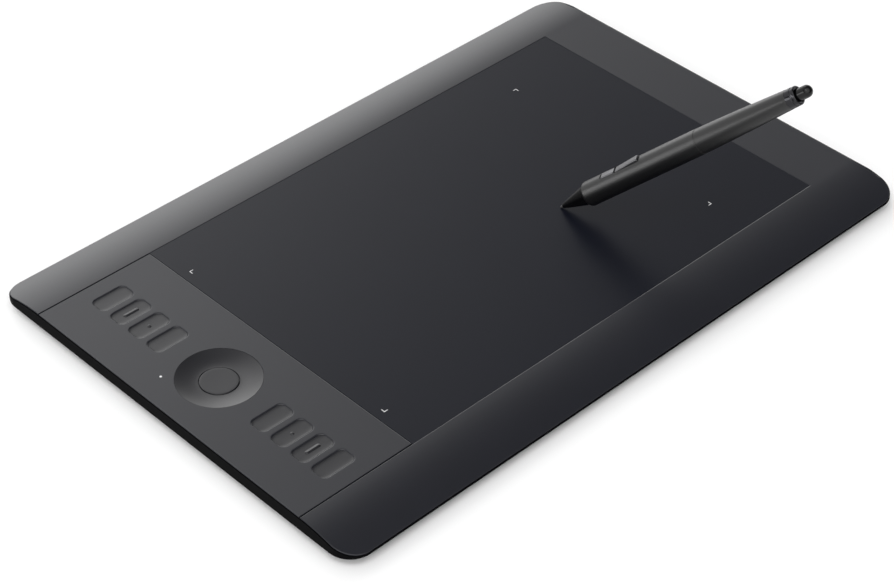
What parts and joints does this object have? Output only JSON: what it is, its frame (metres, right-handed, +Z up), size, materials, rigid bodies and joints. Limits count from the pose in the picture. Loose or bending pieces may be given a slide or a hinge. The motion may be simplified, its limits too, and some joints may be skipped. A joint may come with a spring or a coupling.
{
  "type": "pen drawing tablet",
  "caption": "Flat drawing tablet with side keys, a dished touch ring with a centre button, a recessed drawing sheet and a cordless pen held over it.",
  "frame": {"origin": "centre of the tablet on the surface that it rests on", "axes": "+X from the keys to the plain side panel, +Y to the edge away from the user, +Z up"},
  "size_m": [0.38, 0.2529, 0.1166],
  "materials": {
    "case_black": "fine matt moulding",
    "cover_grey": "satin soft-touch coat",
    "panel_grey": "satin soft-touch coat",
    "key_grey": "satin soft-touch coat",
    "ring_dark": "satin",
    "sheet": "fine matt drawing texture",
    "light_white": "lit light guide",
    "lens_dark": "unlit lens",
    "led": "clear resin",
    "circuit_board": "solder mask",
    "shield_steel": "plain",
    "chip": "moulded resin",
    "port_steel": "nickel plated",
    "flex": "polyimide film",
    "connector": "moulded",
    "battery": "film wrapped",
    "contact": "gold plated",
    "radio": "moulded",
    "foot_rubber": "matt",
    "screw_steel": "zinc plated",
    "label": "blank film",
    "pen_rubber": "fine matt",
    "pen_shell": "soft-touch coat",
    "pen_gloss": "polished",
    "pen_chrome": "polished",
    "pen_switch": "metallic satin",
    "pen_inner": "moulded",
    "copper": "enamelled wire",
    "nib": "plain"
  },
  "bodies": {
    "tablet": {"bottom_case": "case_black", "top_cover": "cover_grey", "key_panel": "panel_grey", "touch_ring": "ring_dark", "drawing_sheet": "sheet", "corner_marks": "light_white", "mark_leds": "led", "status_lens_lit": "light_white", "status_lenses_dark": "lens_dark", "status_leds": "led", "sensor_board": "circuit_board", "shield_plate": "shield_steel", "key_board": "circuit_board", "key_switches": "chip", "ring_sensor_board": "circuit_board", "main_board": "circuit_board", "board_chips": "chip", "usb_port": "port_steel", "key_flex": "flex", "sensor_flex": "flex", "flex_connectors": "connector", "battery_pack": "battery", "battery_contacts": "contact", "wireless_module": "radio", "rubber_feet": "foot_rubber", "case_screws": "screw_steel", "board_screws": "screw_steel", "rating_label": "label"},
    "key_1": {"key_1": "key_grey"},
    "key_2": {"key_2": "key_grey"},
    "key_3": {"key_3": "key_grey"},
    "key_4": {"key_4": "key_grey"},
    "key_5": {"key_5": "key_grey"},
    "key_6": {"key_6": "key_grey"},
    "key_7": {"key_7": "key_grey"},
    "key_8": {"key_8": "key_grey"},
    "ring_button": {"ring_button": "key_grey"},
    "battery_cover": {"battery_cover": "case_black"},
    "wireless_cover": {"wireless_cover": "case_black"},
    "pen": {"pen_grip": "pen_rubber", "pen_barrel": "pen_shell", "pen_cone": "pen_gloss", "pen_ring": "pen_chrome", "pen_chassis": "pen_inner", "pen_board": "circuit_board", "pen_coil": "copper", "pen_pressure_sensor": "port_steel", "pen_tact_switches": "chip"},
    "pen_nib": {"pen_nib": "nib"},
    "pen_switch": {"pen_switch": "pen_switch"},
    "pen_eraser": {"pen_eraser": "pen_gloss"}
  },
  "joints": [
    {"name": "key_1_press", "type": "slide", "parent": "tablet", "child": "key_1", "axis": [0, 0, -1], "range_m": [0, 0.0006], "stiffness_N_per_m": 1000, "springref_m": -0.0006},
    {"name": "key_2_press", "type": "slide", "parent": "tablet", "child": "key_2", "axis": [0, 0, -1], "range_m": [0, 0.0006], "stiffness_N_per_m": 1000, "springref_m": -0.0006},
    {"name": "key_3_press", "type": "slide", "parent": "tablet", "child": "key_3", "axis": [0, 0, -1], "range_m": [0, 0.0006], "stiffness_N_per_m": 1000, "springref_m": -0.0006},
    {"name": "key_4_press", "type": "slide", "parent": "tablet", "child": "key_4", "axis": [0, 0, -1], "range_m": [0, 0.0006], "stiffness_N_per_m": 1000, "springref_m": -0.0006},
    {"name": "key_5_press", "type": "slide", "parent": "tablet", "child": "key_5", "axis": [0, 0, -1], "range_m": [0, 0.0006], "stiffness_N_per_m": 1000, "springref_m": -0.0006},
    {"name": "key_6_press", "type": "slide", "parent": "tablet", "child": "key_6", "axis": [0, 0, -1], "range_m": [0, 0.0006], "stiffness_N_per_m": 1000, "springref_m": -0.0006},
    {"name": "key_7_press", "type": "slide", "parent": "tablet", "child": "key_7", "axis": [0, 0, -1], "range_m": [0, 0.0006], "stiffness_N_per_m": 1000, "springref_m": -0.0006},
    {"name": "key_8_press", "type": "slide", "parent": "tablet", "child": "key_8", "axis": [0, 0, -1], "range_m": [0, 0.0006], "stiffness_N_per_m": 1000, "springref_m": -0.0006},
    {"name": "ring_button_press", "type": "slide", "parent": "tablet", "child": "ring_button", "axis": [0, 0, -1], "range_m": [0, 0.0006], "stiffness_N_per_m": 1000, "springref_m": -0.0006},
    {"name": "battery_cover_slide", "type": "slide", "parent": "tablet", "child": "battery_cover", "axis": [1, 0, 0], "range_m": [0, 0.062]},
    {"name": "wireless_cover_slide", "type": "slide", "parent": "tablet", "child": "wireless_cover", "axis": [1, 0, 0], "range_m": [0, 0.062]},
    {"name": "pen_lift", "type": "slide", "parent": "tablet", "child": "pen", "axis": [0, 0, 1], "range_m": [0, 0.15]},
    {"name": "pen_nib_press", "type": "slide", "parent": "pen", "child": "pen_nib", "axis": [0.3068, -0.6858, 0.66], "range_m": [0, 0.0008], "stiffness_N_per_m": 1200, "springref_m": -0.0003},
    {"name": "pen_eraser_press", "type": "slide", "parent": "pen", "child": "pen_eraser", "axis": [-0.3068, 0.6858, -0.66], "range_m": [0, 0.0008], "stiffness_N_per_m": 1200, "springref_m": -0.0003},
    {"name": "pen_switch_rock", "type": "hinge", "parent": "pen", "child": "pen_switch", "pos_m": [0.06109, -0.04563, 0.04185], "axis": [-0.863, -0.4929, -0.111], "range_deg": [-1.6, 1.6], "stiffness_Nm_per_rad": 0.6}
  ]
}
